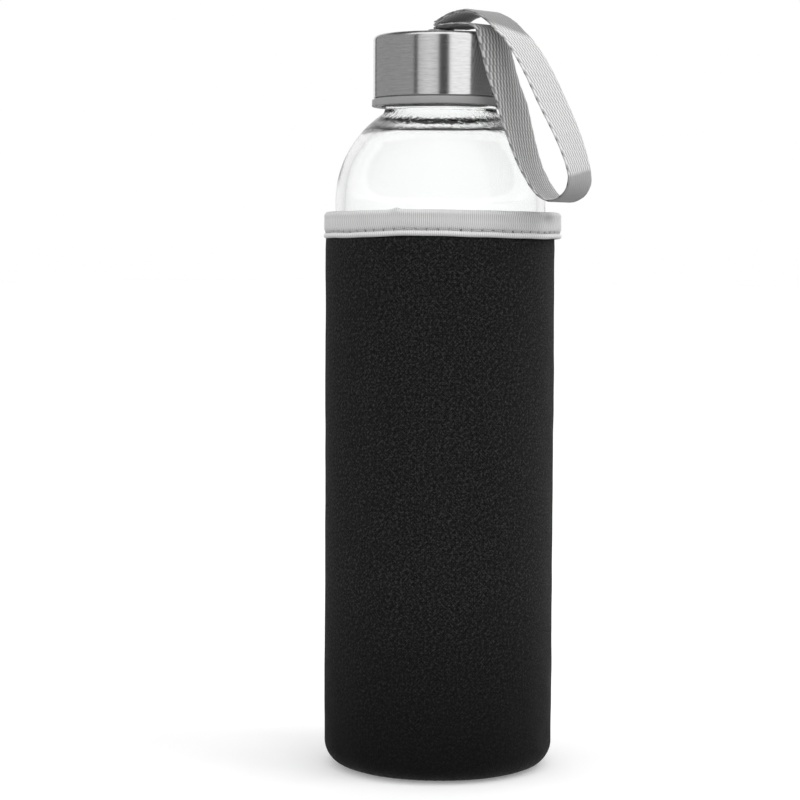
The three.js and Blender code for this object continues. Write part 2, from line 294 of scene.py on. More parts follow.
class Look(Nodes):
    """A material."""

    def __init__(self, name, **settings):
        self.material = bpy.data.materials.new(name)
        self.material.use_nodes = True
        super().__init__(self.material.node_tree)
        self.shader = self.nodes["Principled BSDF"]
        self.feed(**settings)

    def combine(self, x, y, z=0.0):
        return self.node("CombineXYZ", {0: x, 1: y, 2: z}).outputs[0]

    def object_place(self):
        return self.node("TexCoord").outputs["Object"]

    def stored(self, name):
        """A value that store_values keeps on the mesh."""
        return self.node("Attribute", attribute_name=name).outputs["Fac"]

    def round_place(self):
        """Distance round the axis at a radius of one, height, and distance from the axis, in metres."""
        x, y, z = self.node("SeparateXYZ", {0: self.object_place()}).outputs
        radius = self.math("SQRT", self.plus(self.times(x, x), self.times(y, y)))
        return self.math("ARCTAN2", y, x), z, radius

    def surface_place(self):
        """The mesh's own surface coordinates, in metres."""
        place = self.node("UVMap", uv_map="surface").outputs[0]
        u, v, _ = self.node("SeparateXYZ", {0: place}).outputs
        return u, v

    def noise(self, vector, scale, detail=2.0, roughness=0.5):
        inputs = {"Vector": vector, "Scale": scale, "Detail": detail, "Roughness": roughness}
        return self.node("TexNoise", inputs).outputs["Fac"]

    def span(self, value, low, high, to_low, to_high):
        inputs = {0: value, 1: low, 2: high, 3: to_low, 4: to_high}
        return self.node("MapRange", inputs).outputs[0]

    def rough(self, value, smoothest, roughest):
        """Roughness that follows a noise."""
        self.feed(Roughness=self.span(value, 0.3, 0.7, smoothest, roughest))

    def bump(self, height, distance, strength=1.0):
        """Adds relief; height runs from 0 to 1 over a distance in metres."""
        inputs = {"Height": height, "Distance": distance, "Strength": strength}
        made = self.node("Bump", inputs)
        normal = self.shader.inputs["Normal"]
        if normal.links:
            self.links.new(normal.links[0].from_socket, made.inputs["Normal"])
        self.links.new(made.outputs[0], normal)

    def feed(self, **sockets):
        for socket, value in sockets.items():
            self.put(value, self.shader.inputs[socket.replace("_", " ")])


# The mould leaves the glass uneven between these heights, in metres, where the shoulder turns into the neck.
SPECKLE_LOW_M = 0.1965
SPECKLE_HIGH_M = 0.2025


def glass_look():
    look = Look("clear_glass", Base_Color=(0.992, 1.0, 0.996, 1), Transmission_Weight=1, IOR=1.5, Roughness=0)
    angle, z, radius = look.round_place()
    place = look.combine(look.times(angle, 0.03), z, radius)
    look.bump(look.noise(place, 30, 1), 0.0002, 0.3)
    speckle = look.noise(look.object_place(), 750, 2)
    fade = 0.002
    low_edge = look.span(z, SPECKLE_LOW_M, SPECKLE_LOW_M + fade, 0, 1)
    high_edge = look.span(z, SPECKLE_HIGH_M - fade, SPECKLE_HIGH_M, 1, 0)
    band = look.times(low_edge, high_edge)
    look.bump(look.times(look.less(speckle, 0.5), band), 0.0003, 1)
    return look.material


def brushed(look, stretch, strength):
    """Fine brushing that runs round the axis, as streaks in the colour, the roughness and the relief."""
    angle, z, radius = look.round_place()
    height = look.plus(z, radius)
    place = look.combine(look.times(angle, stretch), height, 0.0)
    fine = look.noise(place, 5200, 2, 0.6)
    broad = look.noise(place, 1700, 3, 0.6)
    streak = look.plus(look.times(fine, 0.5), look.times(broad, 0.5))
    look.feed(Base_Color=look.ramp(streak, (0.32, 0.56), (0.50, 0.66), (0.70, 0.74)))
    look.rough(streak, 0.19, 0.25)
    look.bump(streak, 0.00005, strength)


def steel_look():
    look = Look("brushed_steel", Metallic=1, Anisotropic=0.85, Anisotropic_Rotation=0.25)
    brushed(look, 0.0016, 0.15)
    return look.material


def plain_steel_look():
    look = Look("plain_steel", Metallic=1)
    place = look.object_place()
    spots = look.noise(place, 900, 3)
    look.feed(Base_Color=look.ramp(spots, (0.35, 0.50), (0.65, 0.72)))
    look.rough(spots, 0.22, 0.38)
    look.bump(look.noise(place, 2600, 2), 0.00003, 0.4)
    return look.material


def plastic_look():
    look = Look("grey_plastic", Specular_IOR_Level=0.45)
    place = look.object_place()
    grain = look.noise(place, 2600, 3, 0.6)
    cloud = look.noise(place, 90, 2)
    look.feed(Base_Color=look.ramp(cloud, (0.3, 0.37), (0.7, 0.42)))
    look.rough(grain, 0.36, 0.52)
    look.bump(grain, 0.00004, 0.5)
    return look.material


def silicone_look():
    look = Look("silicone", Subsurface_Weight=0.25, Subsurface_Scale=0.002, Specular_IOR_Level=0.4)
    place = look.object_place()
    cloud = look.noise(place, 260, 3)
    look.feed(Base_Color=look.ramp(cloud, (0.3, (0.70, 0.71, 0.69, 1)), (0.7, (0.78, 0.79, 0.77, 1))))
    look.rough(cloud, 0.5, 0.62)
    look.bump(look.noise(place, 1800, 2), 0.00004, 0.4)
    return look.material


def webbing_look():
    look = Look("grey_webbing", Sheen_Weight=0.25, Sheen_Roughness=0.5, Specular_IOR_Level=0.35)
    u, v = look.surface_place()
    # Painted shade: the stored relief darkens the colour between the yarns and keeps the inner face of the
    # loop darker than the outer, and the stored shadow darkens it further.
    depth = look.stored("relief")
    filament = look.noise(look.combine(look.times(u, 9), v, 0.0), 1500, 3, 0.6)
    yarn = look.noise(look.combine(look.times(u, 1.0), look.times(v, 0.25), 0.0), 900, 2)
    tone = look.plus(look.times(filament, 0.35), look.times(yarn, 0.2))
    tone = look.plus(tone, look.less(depth, 0.275))
    colour = look.ramp(tone, (0.0, 0.12), (0.30, 0.36), (0.65, 0.68), (1.0, 0.86))
    shadow = look.stored("shadow")
    look.feed(Base_Color=look.times(colour, look.less(1.0, shadow)))
    look.rough(filament, 0.5, 0.75)
    look.bump(filament, 0.00012, 0.5)
    return look.material


def neoprene_look():
    """Black jersey over foam: fine knit stitches under a mottle of slanting dashes."""
    look = Look("black_neoprene", Sheen_Weight=0.02, Sheen_Roughness=0.5, Specular_IOR_Level=0.15)
    u, v = look.surface_place()
    _, z, _ = look.round_place()
    wale = look.math("PINGPONG", look.math("DIVIDE", u, 0.00062), 0.5)
    course = look.plus(look.math("DIVIDE", v, 0.00052), look.times(wale, 0.9))
    loop = look.math("PINGPONG", course, 0.5)
    groove = look.times(look.math("MINIMUM", loop, look.times(wale, 1.4)), 2)
    rising, falling = look.plus(u, v), look.less(u, v)
    slanting = look.noise(look.combine(look.times(rising, 0.45), falling), 1500, 2, 0.6)
    crossing = look.noise(look.combine(rising, look.times(falling, 0.45)), 1500, 2, 0.6)
    mottle = look.times(look.plus(slanting, crossing), 0.5)
    patch = look.noise(look.combine(u, v), 120, 3, 0.6)
    tone = look.plus(look.times(groove, 0.06), look.times(mottle, 0.94))
    tone = look.plus(tone, look.times(look.less(patch, 0.5), 0.08))
    colour = look.ramp(tone, (0.38, 0.001), (0.50, 0.010), (0.61, 0.042))
    # Painted shade: the colour darkens towards the bottom, down to 0.15 of itself at the floor, over the
    # lowest 60 mm.
    look.feed(Base_Color=look.times(colour, look.span(z, 0.0, 0.06, 0.15, 1.0)))
    look.rough(patch, 0.72, 0.88)
    look.bump(groove, 0.00016, 0.6)
    look.bump(mottle, 0.0003, 0.8)
    return look.material


def tape_look():
    """Light grey binding tape with fine ribs across it; the ribs themselves are in the mesh. The stored
    relief darkens the colour between the ribs, in the stitch groove, in the needle holes and at the dent as
    painted shade, and lightens the rolled edge as painted light.
    """
    look = Look("grey_tape", Sheen_Weight=0.25, Sheen_Roughness=0.5, Specular_IOR_Level=0.3)
    u, v = look.surface_place()
    depth = look.stored("relief")
    filament = look.noise(look.combine(look.times(u, 0.6), look.times(v, 4)), 2200, 3, 0.6)
    patch = look.noise(look.combine(u, v), 160, 3)
    tone = look.plus(look.times(depth, 0.6), look.times(filament, 0.25))
    tone = look.plus(tone, look.times(patch, 0.15))
    look.feed(Base_Color=look.ramp(tone, (0.0, 0.04), (0.13, 0.42), (0.42, 0.70), (0.85, 0.88)))
    look.rough(filament, 0.7, 0.9)
    look.bump(filament, 0.0001, 0.5)
    return look.material


def thread_look(name, dark, light):
    look = Look(name, Sheen_Weight=0.2, Specular_IOR_Level=0.35)
    u, v = look.surface_place()
    twist = look.math("FRACT", look.plus(look.math("DIVIDE", v, 0.0006), look.math("DIVIDE", u, 0.0008)))
    ply = look.math("PINGPONG", twist, 0.5)
    fuzz = look.noise(look.combine(u, v), 4000, 3)
    tone = look.plus(ply, look.times(fuzz, 0.5))
    look.feed(Base_Color=look.ramp(tone, (0.2, dark), (0.8, light)))
    look.rough(fuzz, 0.55, 0.8)
    look.bump(ply, 0.0001, 0.6)
    return look.material


# ---- the bottle ----
GLASS_R, GLASS_FOOT_Z, GLASS_RIM_Z = cad("glass_bottle")
GLASS_WALL = 2.8
GLASS_CORNER = 5.2
GLASS_BASE = 3.9
PUNT = 1.4
SHOULDER_Z = GLASS_RIM_Z - 45.5
NECK_R = 17.3
NECK_FILLET = 2.0
FINISH_R = 16.8
FINISH_Z = GLASS_RIM_Z - 13.5
MOUTH_R = 14.7
NECK_BORE_Z = 201.6  # the bore widens into the shoulder below this
PARTING_Z = 202.8  # where the neck ring of the mould met the body
THREAD_PITCH = 4.2
THREAD_TURNS = 1.5
THREAD_HEIGHT = 1.2
THREAD_Z = GLASS_RIM_Z - 10.3


def thread_relief(angle, z, start_z):
    """How far a thread's ridge stands out, from 0 to 1, on the wall at this angle and height."""
    total = np.zeros(np.broadcast(angle, z).shape)
    half_width = 1.05
    for turn in range(math.ceil(THREAD_TURNS) + 1):
        turns = turn + angle / TURN
        away = np.abs(z - start_z - turns * THREAD_PITCH) / half_width
        ridge = np.cos(np.clip(away, 0, 1) * math.pi / 2) ** 0.8
        fade = smoothstep(turns / 0.05) * smoothstep((THREAD_TURNS - turns) / 0.05)
        total = np.maximum(total, ridge * fade)
    return total


def make_bottle(look):
    fillet_r = NECK_R + NECK_FILLET
    fillet_z = SHOULDER_Z + math.sqrt((GLASS_R + NECK_FILLET) ** 2 - fillet_r**2)
    fillet_angle = math.degrees(math.atan2(fillet_z - SHOULDER_Z, fillet_r))
    inside = GLASS_R - GLASS_WALL
    widening = [(0, 3), (0, 0), (0.4, -1.6), (1.7, -3.2), (4.2, -4.6), (7, -6.5), (9.2, -9), (10.8, -11.4)]
    neck_inside = smooth_path([(MOUTH_R + r, NECK_BORE_Z + z) for r, z in widening], 0.6)
    shoulder_angle = math.degrees(math.acos((neck_inside[-1][0] + 0.3) / inside))
    floor_z = GLASS_FOOT_Z + GLASS_BASE
    lip = 0.8
    bearing = 25
    outside = [(0, GLASS_FOOT_Z + PUNT)]
    outside += [
        (bearing * s, GLASS_FOOT_Z + PUNT * float(smoothstep((1 - s) / 0.6))) for s in np.linspace(0.1, 1, 14)
    ]
    outside += arc(GLASS_R - GLASS_CORNER, GLASS_FOOT_Z + GLASS_CORNER, GLASS_CORNER, -90, 0, 12)
    outside += straight((GLASS_R, GLASS_FOOT_Z + GLASS_CORNER + 4), (GLASS_R, SHOULDER_Z), 30)
    outside += arc(0, SHOULDER_Z, GLASS_R, 0, fillet_angle, 48)
    outside += arc(fillet_r, fillet_z, NECK_FILLET, 180 + fillet_angle, 180, 8)[1:]
    outside += straight((NECK_R, fillet_z + 1), (NECK_R, FINISH_Z - 0.6), 3)
    outside += [(NECK_R, FINISH_Z - 0.6), (NECK_R - 0.1, FINISH_Z - 0.3), (FINISH_R + 0.05, FINISH_Z - 0.1)]
    outside += straight((FINISH_R, FINISH_Z), (FINISH_R, GLASS_RIM_Z - lip), 54)
    outside += arc(FINISH_R - lip, GLASS_RIM_Z - lip, lip, 0, 90, 6)
    outside += arc(MOUTH_R + lip, GLASS_RIM_Z - lip, lip, 90, 180, 6)
    within = straight((MOUTH_R, GLASS_RIM_Z - 2), (MOUTH_R, NECK_BORE_Z + 3), 6)
    within += [tuple(point) for point in neck_inside]
    within += arc(0, SHOULDER_Z, inside, shoulder_angle, 0, 40)
    within += straight((inside, SHOULDER_Z - 4), (inside, floor_z + GLASS_CORNER), 30)
    within += arc(inside - GLASS_CORNER, floor_z + GLASS_CORNER, GLASS_CORNER, 0, -90, 12)
    within += [(20 * s, floor_z + 0.7 * float(smoothstep(1 - s))) for s in np.linspace(1, 0, 12)]

    split = len(outside)

    def moulded(angle, r, z, _):
        on_wall = smoothstep((z - FINISH_Z) / 1.5) * smoothstep((GLASS_RIM_Z - 1 - z) / 1.0)
        ridge = THREAD_HEIGHT * thread_relief(angle, z, THREAD_Z) * on_wall
        ridge[split:] = 0
        wave = ripple(angle, z, 4, 0.05, 7, 25) * smoothstep((FINISH_Z - z) / 6) * smoothstep(r / 10)
        wave[:split] *= 0.3
        parting = 0.15 * np.exp(-(((z - PARTING_Z) / 0.3) ** 2)) * (0.7 + 0.3 * np.cos(2 * angle + 0.5))
        parting[split:] = 0
        return r + ridge + wave + parting, z

    grid = lathe_grid(outside + within, shape=moulded, segments=240)
    piece = grid_piece("bottle_glass", [grid], look, 60)
    assign(piece, "bottle", "glass_bottle")


# ---- the lid ----
RING_R, RING_LOW_Z, CAP_TOP_Z = cad("lid_inner_cap")
RING_TOP_Z = RING_LOW_Z + 2.7
CAP_R = RING_R - 1.2
CAP_BORE = 18.4
CAP_CEILING_Z = CAP_TOP_Z - 2.95
POCKET_R = 5.2
POCKET_Z = CAP_TOP_Z - 1.65
COVER_R, COVER_LOW_Z, COVER_TOP_Z = cad("lid_steel_cover")
COVER_THICK = 0.5
COVER_CORNER = 1.5
SEAL_WIDTH = 4.7
SEAL_EDGE = 0.35
RIVET_HOLE = 1.9
RIVET_SHANK = 1.6
RIVET_TAIL_R = 2.7
RIVET_TAIL_THICK = 0.55
RIVET_HEAD_HEIGHT = 0.8
RIVET_RIM = 0.15  # height of the head's rim, under its dome
BEDDED = 0.4  # how much of the head's thin rim is sunk in the webbing, all round
PRESSED = 0.4  # how far the rivet's head presses into the webbing


def make_cap(look):
    wall = CAP_TOP_Z - 1
    profile = straight((0, CAP_CEILING_Z), (CAP_BORE - 0.6, CAP_CEILING_Z), 6)
    profile += arc(CAP_BORE - 0.6, CAP_CEILING_Z - 0.6, 0.6, 90, 0, 4)
    bore_rows = 56
    first_bore = len(profile)
    edge_z = RING_LOW_Z + 0.5
    profile += straight((CAP_BORE, CAP_CEILING_Z - 0.9), (CAP_BORE, edge_z + 0.3), bore_rows)
    profile += [(CAP_BORE, edge_z + 0.3), (CAP_BORE + 0.1, edge_z + 0.1), (CAP_BORE + 0.3, edge_z)]
    profile += arc(RING_R - 0.25, edge_z + 0.25, 0.25, -90, 0, 6)
    profile += arc(RING_R - 0.35, RING_TOP_Z - 0.3, 0.3, 0, 90, 5)
    profile += [(CAP_R, RING_TOP_Z), (CAP_R, RING_TOP_Z + 3)]
    profile += arc(CAP_R - 1, wall, 1, 0, 90, 5)
    profile += [(POCKET_R + 0.2, CAP_TOP_Z), (POCKET_R, CAP_TOP_Z - 0.2), (POCKET_R, POCKET_Z), (0, POCKET_Z)]

    def threaded(angle, r, z, _):
        ridge = thread_relief(angle, z, THREAD_Z - THREAD_PITCH / 2)
        rows = slice(first_bore, first_bore + bore_rows)
        r[rows] -= ridge[rows]
        return r, z

    piece = grid_piece("lid_cap_moulding", [lathe_grid(profile, shape=threaded)], look, 50)
    assign(piece, "lid", "lid_inner_cap")


def make_cover(look):
    inner = COVER_R - COVER_THICK
    corner_r, corner_z = COVER_R - COVER_CORNER, COVER_TOP_Z - COVER_CORNER
    edge = COVER_THICK / 2
    under_z = COVER_TOP_Z - COVER_THICK
    profile = arc(COVER_R - edge, COVER_LOW_Z + edge, edge, 180, 360, 6)
    profile += straight((COVER_R, COVER_LOW_Z + 1), (COVER_R, corner_z), 6)
    profile += arc(corner_r, corner_z, COVER_CORNER, 0, 90, 14)
    profile += straight((corner_r - 0.5, COVER_TOP_Z), (RIVET_HOLE + 0.1, COVER_TOP_Z), 8)
    profile += [(RIVET_HOLE, COVER_TOP_Z - 0.1), (RIVET_HOLE, under_z)]
    profile += straight((RIVET_HOLE + 0.5, under_z), (corner_r - 0.5, under_z), 6)
    profile += arc(corner_r, corner_z, COVER_CORNER - COVER_THICK, 90, 0, 8)
    profile += [(inner, COVER_LOW_Z + 1)]
    piece = grid_piece("lid_cover_pressing", [lathe_grid(profile, closed=True, segments=256)], look, 60)
    assign(piece, "lid", "lid_steel_cover")


def rounded_ring(inner, outer, low, high, edge, steps=4):
    """The profile of a flat ring with rounded edges."""
    return (
        arc(inner + edge, low + edge, edge, 180, 270, steps)
        + arc(outer - edge, low + edge, edge, 270, 360, steps)
        + arc(outer - edge, high - edge, edge, 0, 90, steps)
        + arc(inner + edge, high - edge, edge, 90, 180, steps)
    )


def make_seal(look):
    outer, low, high = cad("lid_seal_ring")
    profile = rounded_ring(outer - SEAL_WIDTH, outer, low, high, SEAL_EDGE)
    piece = grid_piece("lid_seal", [lathe_grid(profile, closed=True)], look)
    assign(piece, "seal", "lid_seal_ring")


def make_rivet(look):
    washers = {"rivet_top_washer": "washer_under_strap", "rivet_backing_washer": "washer_under_cover"}
    for node, name in washers.items():
        outer, low, high = cad(node)
        profile = rounded_ring(RIVET_HOLE - 0.2, outer, low, high, 0.15)
        washer = grid_piece(name, [lathe_grid(profile, closed=True, segments=96)], look)
        assign(washer, "lid", node)
    head_r, low, high = cad("strap_rivet")
    head_r -= BEDDED
    corner = 0.2
    tail_r, tail_z = RIVET_TAIL_R - corner, low + RIVET_TAIL_THICK
    head_z = high - RIVET_HEAD_HEIGHT - PRESSED
    dome_z = head_z + RIVET_RIM
    dome = RIVET_HEAD_HEIGHT - RIVET_RIM
    profile = [(0, low), *arc(tail_r, low + corner, corner, -90, 0, 3)]
    profile += arc(tail_r, tail_z - corner, corner, 0, 90, 3)
    profile += [(RIVET_SHANK, tail_z + 0.1), (RIVET_SHANK, head_z), (head_r - 0.1, head_z)]
    rise = np.linspace(0, math.pi / 2, 14)[:-1]
    profile += [(head_r * math.cos(a), dome_z + dome * math.sin(a)) for a in rise]
    profile += [(0, dome_z + dome)]
    rivet = grid_piece("rivet", [lathe_grid(profile, segments=96)], look, 50)
    assign(rivet, "lid", "strap_rivet")


# ---- the carry loop ----
STRAP_WIDTH = (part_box("strap_hanging_loop")[1].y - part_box("strap_hanging_loop")[0].y) / MM
STRAP_CORE = 0.78  # thickness of the webbing without the crowns of its yarns
CROWN = 0.2  # how far a yarn stands out of the core on each face
UPPER_END_Z = sum(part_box("strap_upper_end")[i].z for i in (0, 1)) / 2 / MM
LOWER_END_Z = sum(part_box("strap_lower_end")[i].z for i in (0, 1)) / 2 / MM
STRAP_TIP_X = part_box("strap_upper_end")[0].x / MM + 1.1  # the cut end is worn a little shorter
STRAP_TIP_WIDTH = 2.2
STRAP_SPLIT_X = 11  # the webbing is parted here, over the lid, where both parts move together
# The middle of the webbing as (x, z), from the upper end round the loop to the lower end.
STRAP_PATH = [
    (STRAP_TIP_X, UPPER_END_Z - PRESSED), (0, UPPER_END_Z - PRESSED), (3.2, UPPER_END_Z - PRESSED + 0.1),
    (6, 230.7), (9.5, 231.9), (14, 232.5), (17.5, 232.2), (20.6, 231.1), (23.6, 229.5), (26.8, 227.2),
    (30.6, 223.9), (34.4, 219.7), (38.1, 214.7), (41.1, 210), (44, 205), (47, 200), (49.9, 195), (52.4, 190),
    (54.4, 185), (55.1, 181.2), (54.1, 178), (51.5, 175.8), (47.8, 174.9), (44.4, 175.9), (41.4, 178.2),
    (38.9, 181.3), (36.2, 185.4), (34, 190), (32, 195), (30.2, 200), (28.7, 205), (27.1, 210), (25.4, 215),
    (23.8, 220), (22.7, 223.4), (21.4, 226), (19.3, 227.5), (16.8, 228.2), (13.5, 228.6), (10, 228.7),
    (6.4, 228.6), (3.2, LOWER_END_Z - 0.1), (0, LOWER_END_Z - 0.1), (STRAP_TIP_X, LOWER_END_Z - 0.1),
]
WARP = 22  # yarns across the webbing
FLOAT = 4.6  # from one dip of a warp yarn to its next
LEAN = 0.55  # how far a yarn slants over a float, in yarns
# Where the painted shade on the webbing begins and ends:
LOOP_TOP_Z = 228.5
LOOP_LOW_Z = 176
UNDER_Z = 182.6
CREST_Z = 222
CREST_X = 28
TWIST = 1.3  # how far the bend at the bottom is turned
CUP = 1.2  # how far the webbing cups beside the lid


def webbing_relief(across, along, back):
    """Height of the yarns, 0 to 1, on a face of the webbing. back is 0 outside the loop and 1 inside."""
    column = STRAP_WIDTH / WARP
    place = (across + STRAP_WIDTH / 2) / column
    height = 0
    for beside in (-1, 0, 1):
        yarn = np.floor(place) + beside
        phase = np.mod(along / FLOAT + 0.5 * np.mod(yarn, 2) + 0.25 * back, 1)
        away = place - yarn - 0.5 - LEAN * (phase - 0.5)
        crown = np.clip(1 - (away / 0.6) ** 2, 0, 1)
        on_top = smoothstep((0.3 - np.abs(phase - 0.5)) / 0.14)
        height = np.maximum(height, crown * (0.05 + 0.95 * on_top))
    weft = 0.5 + 0.5 * np.cos(TURN * 2 * (along / FLOAT + 0.25 * back))
    return height * (1 - 0.3 * weft)


def strap_section():
    """Round the webbing's section: place across, which face, and how far out from its middle plane."""
    half = STRAP_WIDTH / 2
    across = np.linspace(-half, half, WARP * 4 + 1)[1:-1]
    edge = np.radians(np.linspace(90, -90, 7))
    side = half - 0.15
    loop = [(v, 1.0, 1.0) for v in across]
    loop += [(side + 0.35 * math.cos(a), math.sin(a), 0.0) for a in edge[1:-1]]
    loop += [(v, -1.0, 1.0) for v in across[::-1]]
    loop += [(-side - 0.35 * math.cos(a), math.sin(a), 0.0) for a in edge[::-1][1:-1]]
    return np.array(loop)


def end_width(x):
    """Share of the full width that is left where the corners of an end are trimmed off."""
    tip_share = STRAP_TIP_WIDTH / STRAP_WIDTH
    return tip_share + (1 - tip_share) * np.clip((x - STRAP_TIP_X) / 7, 0, 1)


def webbing_shadow(stations, across, back):
    """How far the webbing is smooth, turned under at the bottom, and how much light it loses, both 0 to 1."""
    x, z = stations[:, :1], stations[:, 1:]
    far_side = smoothstep(across / STRAP_WIDTH + 0.5)
    # Little light reaches the inside of the loop, least of all at its far edge.
    within_loop = back * smoothstep((LOOP_TOP_Z - z) / 2 + 1) * smoothstep((z - LOOP_LOW_Z) / 10)
    # Painted shade darkens the outer face where it turns under at the bottom, where it is also smooth, and
    # where it turns over at the top.
    under = (1 - back) * smoothstep(UNDER_Z + 1.8 * far_side - z)
    over = (1 - back) * smoothstep((z - CREST_Z) / 4) * smoothstep((CREST_X + 4 * far_side - x) / 3)
    return under, 0.12 * far_side * within_loop + 0.48 * under + 0.55 * over


def strap_grid(stations, along, is_end):
    """A closed piece of webbing along stations of (x, z)."""
    section = strap_section()
    tangent = np.gradient(stations, axis=0)
    tangent /= np.linalg.norm(tangent, axis=1)[:, None]
    normal = np.stack([-tangent[:, 1], tangent[:, 0]], 1)
    across, face, weight = section.T
    back = (face < 0).astype(float)
    turned_under, shadow = webbing_shadow(stations, across, back)
    relief = webbing_relief(across[None], along[:, None], back[None]) * weight * (1 - 0.7 * turned_under)
    to_knot = np.abs(angle_from(TURN * along[:, None] / FLOAT, 0)) / TURN
    knot = np.exp(-((to_knot / 0.1) ** 2)) * (1 - weight)
    # Painted shade: the inner face of the loop is kept a step darker than the outer face, and the
    # turned-under face, whose relief is flattened, gets an even tone that the painted shadow then darkens.
    face_shade = 0.2 + 0.15 * (1 - back) + 0.3 * turned_under
    edge_shade = 0.42 - 0.5 * knot
    shade = relief + face_shade * weight + edge_shade * (1 - weight)
    half_width = STRAP_WIDTH / 2
    thin = 1 - 0.6 * smoothstep(np.abs(across) - half_width + 1)
    pressed = 1 - 0.3 * smoothstep(1 - stations[:, :1] / 6) * is_end
    out = pressed * (face * thin * (STRAP_CORE / 2) * (1 + 0.3 * knot) + np.sign(face) * CROWN * relief)
    width = end_width(stations[:, 0]) if is_end else np.ones(len(stations))
    y = across * width[:, None] * (1 + 0.01 * (1 - weight) * np.cos(TURN * along[:, None] / FLOAT + 1))
    x, z = stations[:, 0], stations[:, 1]
    # The bend at the bottom hangs a little turned, and the webbing cups where it passes the lid's edge.
    low_down = smoothstep((205 - z) / 25)
    beside_lid = smoothstep((z - 200) / 14) * smoothstep((228.2 - z) / 4)
    beside_lid *= smoothstep((30 - x) / 3) * smoothstep((x - 18) / 3)
    share = across[None] / (STRAP_WIDTH / 2)
    moved = -TWIST * low_down[:, None] * share - CUP * beside_lid[:, None] * share**2
    points = np.stack(
        [x[:, None] + normal[:, :1] * out + moved, y, z[:, None] + normal[:, 1:] * out],
        2,
    )
    # The cut ends close flat: a first and a last row lie on the middle plane.
    for row, source in ((0, 0), (-1, -1)):
        points[row, :, 0] = stations[source, 0] + moved[source]
        points[row, :, 2] = stations[source, 1]
    u = np.concatenate([[0], np.cumsum(np.hypot(np.diff(across), np.diff(face) * STRAP_CORE / 2))])
    u = np.append(u, u[-1] + u[1])
    return (points, False, True, u, along), shade, shadow


def store_values(piece, name, values_at):
    """Keeps a value for each point of a piece, for its material. values_at takes the points in mm."""
    mesh = piece.data
    places = np.zeros(len(mesh.vertices) * 3)
    mesh.vertices.foreach_get("co", places)
    attribute = mesh.attributes.new(name, "FLOAT", "POINT")
    attribute.data.foreach_set("value", values_at(places.reshape(-1, 3) / MM).astype(np.float32))


def nearest(grid, values):
    """Looks a point's value up among the points that the piece was made from."""
    places, values = grid[0].reshape(-1, 3), values.ravel()
    tree = KDTree(len(places))
    for i, place in enumerate(places):
        tree.insert(place, i)
    tree.balance()
    return lambda points: values[[tree.find(p)[1] for p in points]]


def bore_for_rivet(piece):
    """Cuts the round hole that the rivet goes through."""
    bpy.ops.mesh.primitive_cylinder_add(
        vertices=48, radius=(RIVET_SHANK + 0.05) * MM, depth=12 * MM, location=(0, 0, UPPER_END_Z * MM)
    )
    drill = bpy.context.object
    cut = piece.modifiers.new("rivet_hole", "BOOLEAN")
    cut.operation = "DIFFERENCE"
    cut.solver = "EXACT"
    cut.object = drill
    bpy.context.view_layer.update()
    evaluated = piece.evaluated_get(bpy.context.evaluated_depsgraph_get())
    bored = bpy.data.meshes.new_from_object(evaluated)
    piece.modifiers.clear()
    piece.data = bored
    bpy.data.objects.remove(drill)


def make_strap(look):
    step = 0.45
    stations = smooth_path(STRAP_PATH, step)
    along = np.arange(len(stations)) * step
    top = int(np.argmax(stations[:, 0] > STRAP_SPLIT_X))
    bottom = len(stations) - int(np.argmax(stations[::-1, 0] > STRAP_SPLIT_X))
    for name, rows, node_end, node_rise in (
        ("strap_upper_webbing", slice(0, top + 1), "strap_upper_end", "strap_upper_rise"),
        ("strap_lower_webbing", slice(bottom - 1, None), "strap_lower_end", "strap_lower_rise"),
    ):
        grid, relief, shadow = strap_grid(stations[rows], along[rows], True)
        piece = grid_piece(name, [grid], look, 180)
        bore_for_rivet(piece)
        # The stored relief carries painted shade between the yarns and on the inner face of the loop, and the
        # stored shadow is painted shade.
        store_values(piece, "relief", nearest(grid, relief))
        store_values(piece, "shadow", nearest(grid, shadow))
        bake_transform(piece)
        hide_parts(node_end, node_rise)
    grid, relief, shadow = strap_grid(stations[top:bottom], along[top:bottom], False)
    loop = grid_piece("strap_loop_webbing", [grid], look, 180)
    # Painted shade here too, in the stored relief and shadow.
    store_values(loop, "relief", nearest(grid, relief))
    store_values(loop, "shadow", nearest(grid, shadow))
    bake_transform(loop)
    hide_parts("strap_hanging_loop")


# ---- the sleeve ----
SLEEVE_R, _, SLEEVE_TOP_Z = cad("sleeve_side_panel")
FOAM = 2.3
SLEEVE_BORE = SLEEVE_R - FOAM
SLEEVE_R += 0.4  # the jersey stands a little proud of the foam
SLEEVE_CORNER = 7.2
HEM_OUT = 34.8  # the neoprene squeezed inside the rim tape
HEM_IN = 33.8
FLOOR_R, _, FLOOR_TOP_Z = cad("sleeve_bottom_panel")
SEAM_ANGLE = math.radians(132)
SEAM_WIDTH = 3.0
SEAM_WRAPS = 74  # stitches of the overlock round the bottom seam
TAPE_R, TAPE_EDGE_Z, TAPE_TOP_Z = cad("sleeve_rim_tape")
TAPE_EDGE_Z -= 0.35  # the rolled edge droops
STITCH_Z = TAPE_EDGE_Z + 1.9
STITCHES = 66
STITCH_GROOVE = 0.6
TAPE_JOIN_ANGLE = math.radians(-70)
TAPE_HIGH_ANGLE = math.radians(-56)
TAPE_DENT_AND_SHADE = (math.radians(15), 170.4)  # a dent in the tape under the loop, darkened with painted shade: angle and z
RIBS = 259
CROWDED = 55  # how far the ribs are drawn together at the front and the back
FRONT_ANGLE = VIEW_AZIMUTH - math.pi / 2
RIB_BOW = 2.2
LOOSE = 1.5  # how far the tape stands off on the side where it is pulled out of round
HEM_Z = TAPE_EDGE_Z - 0.3


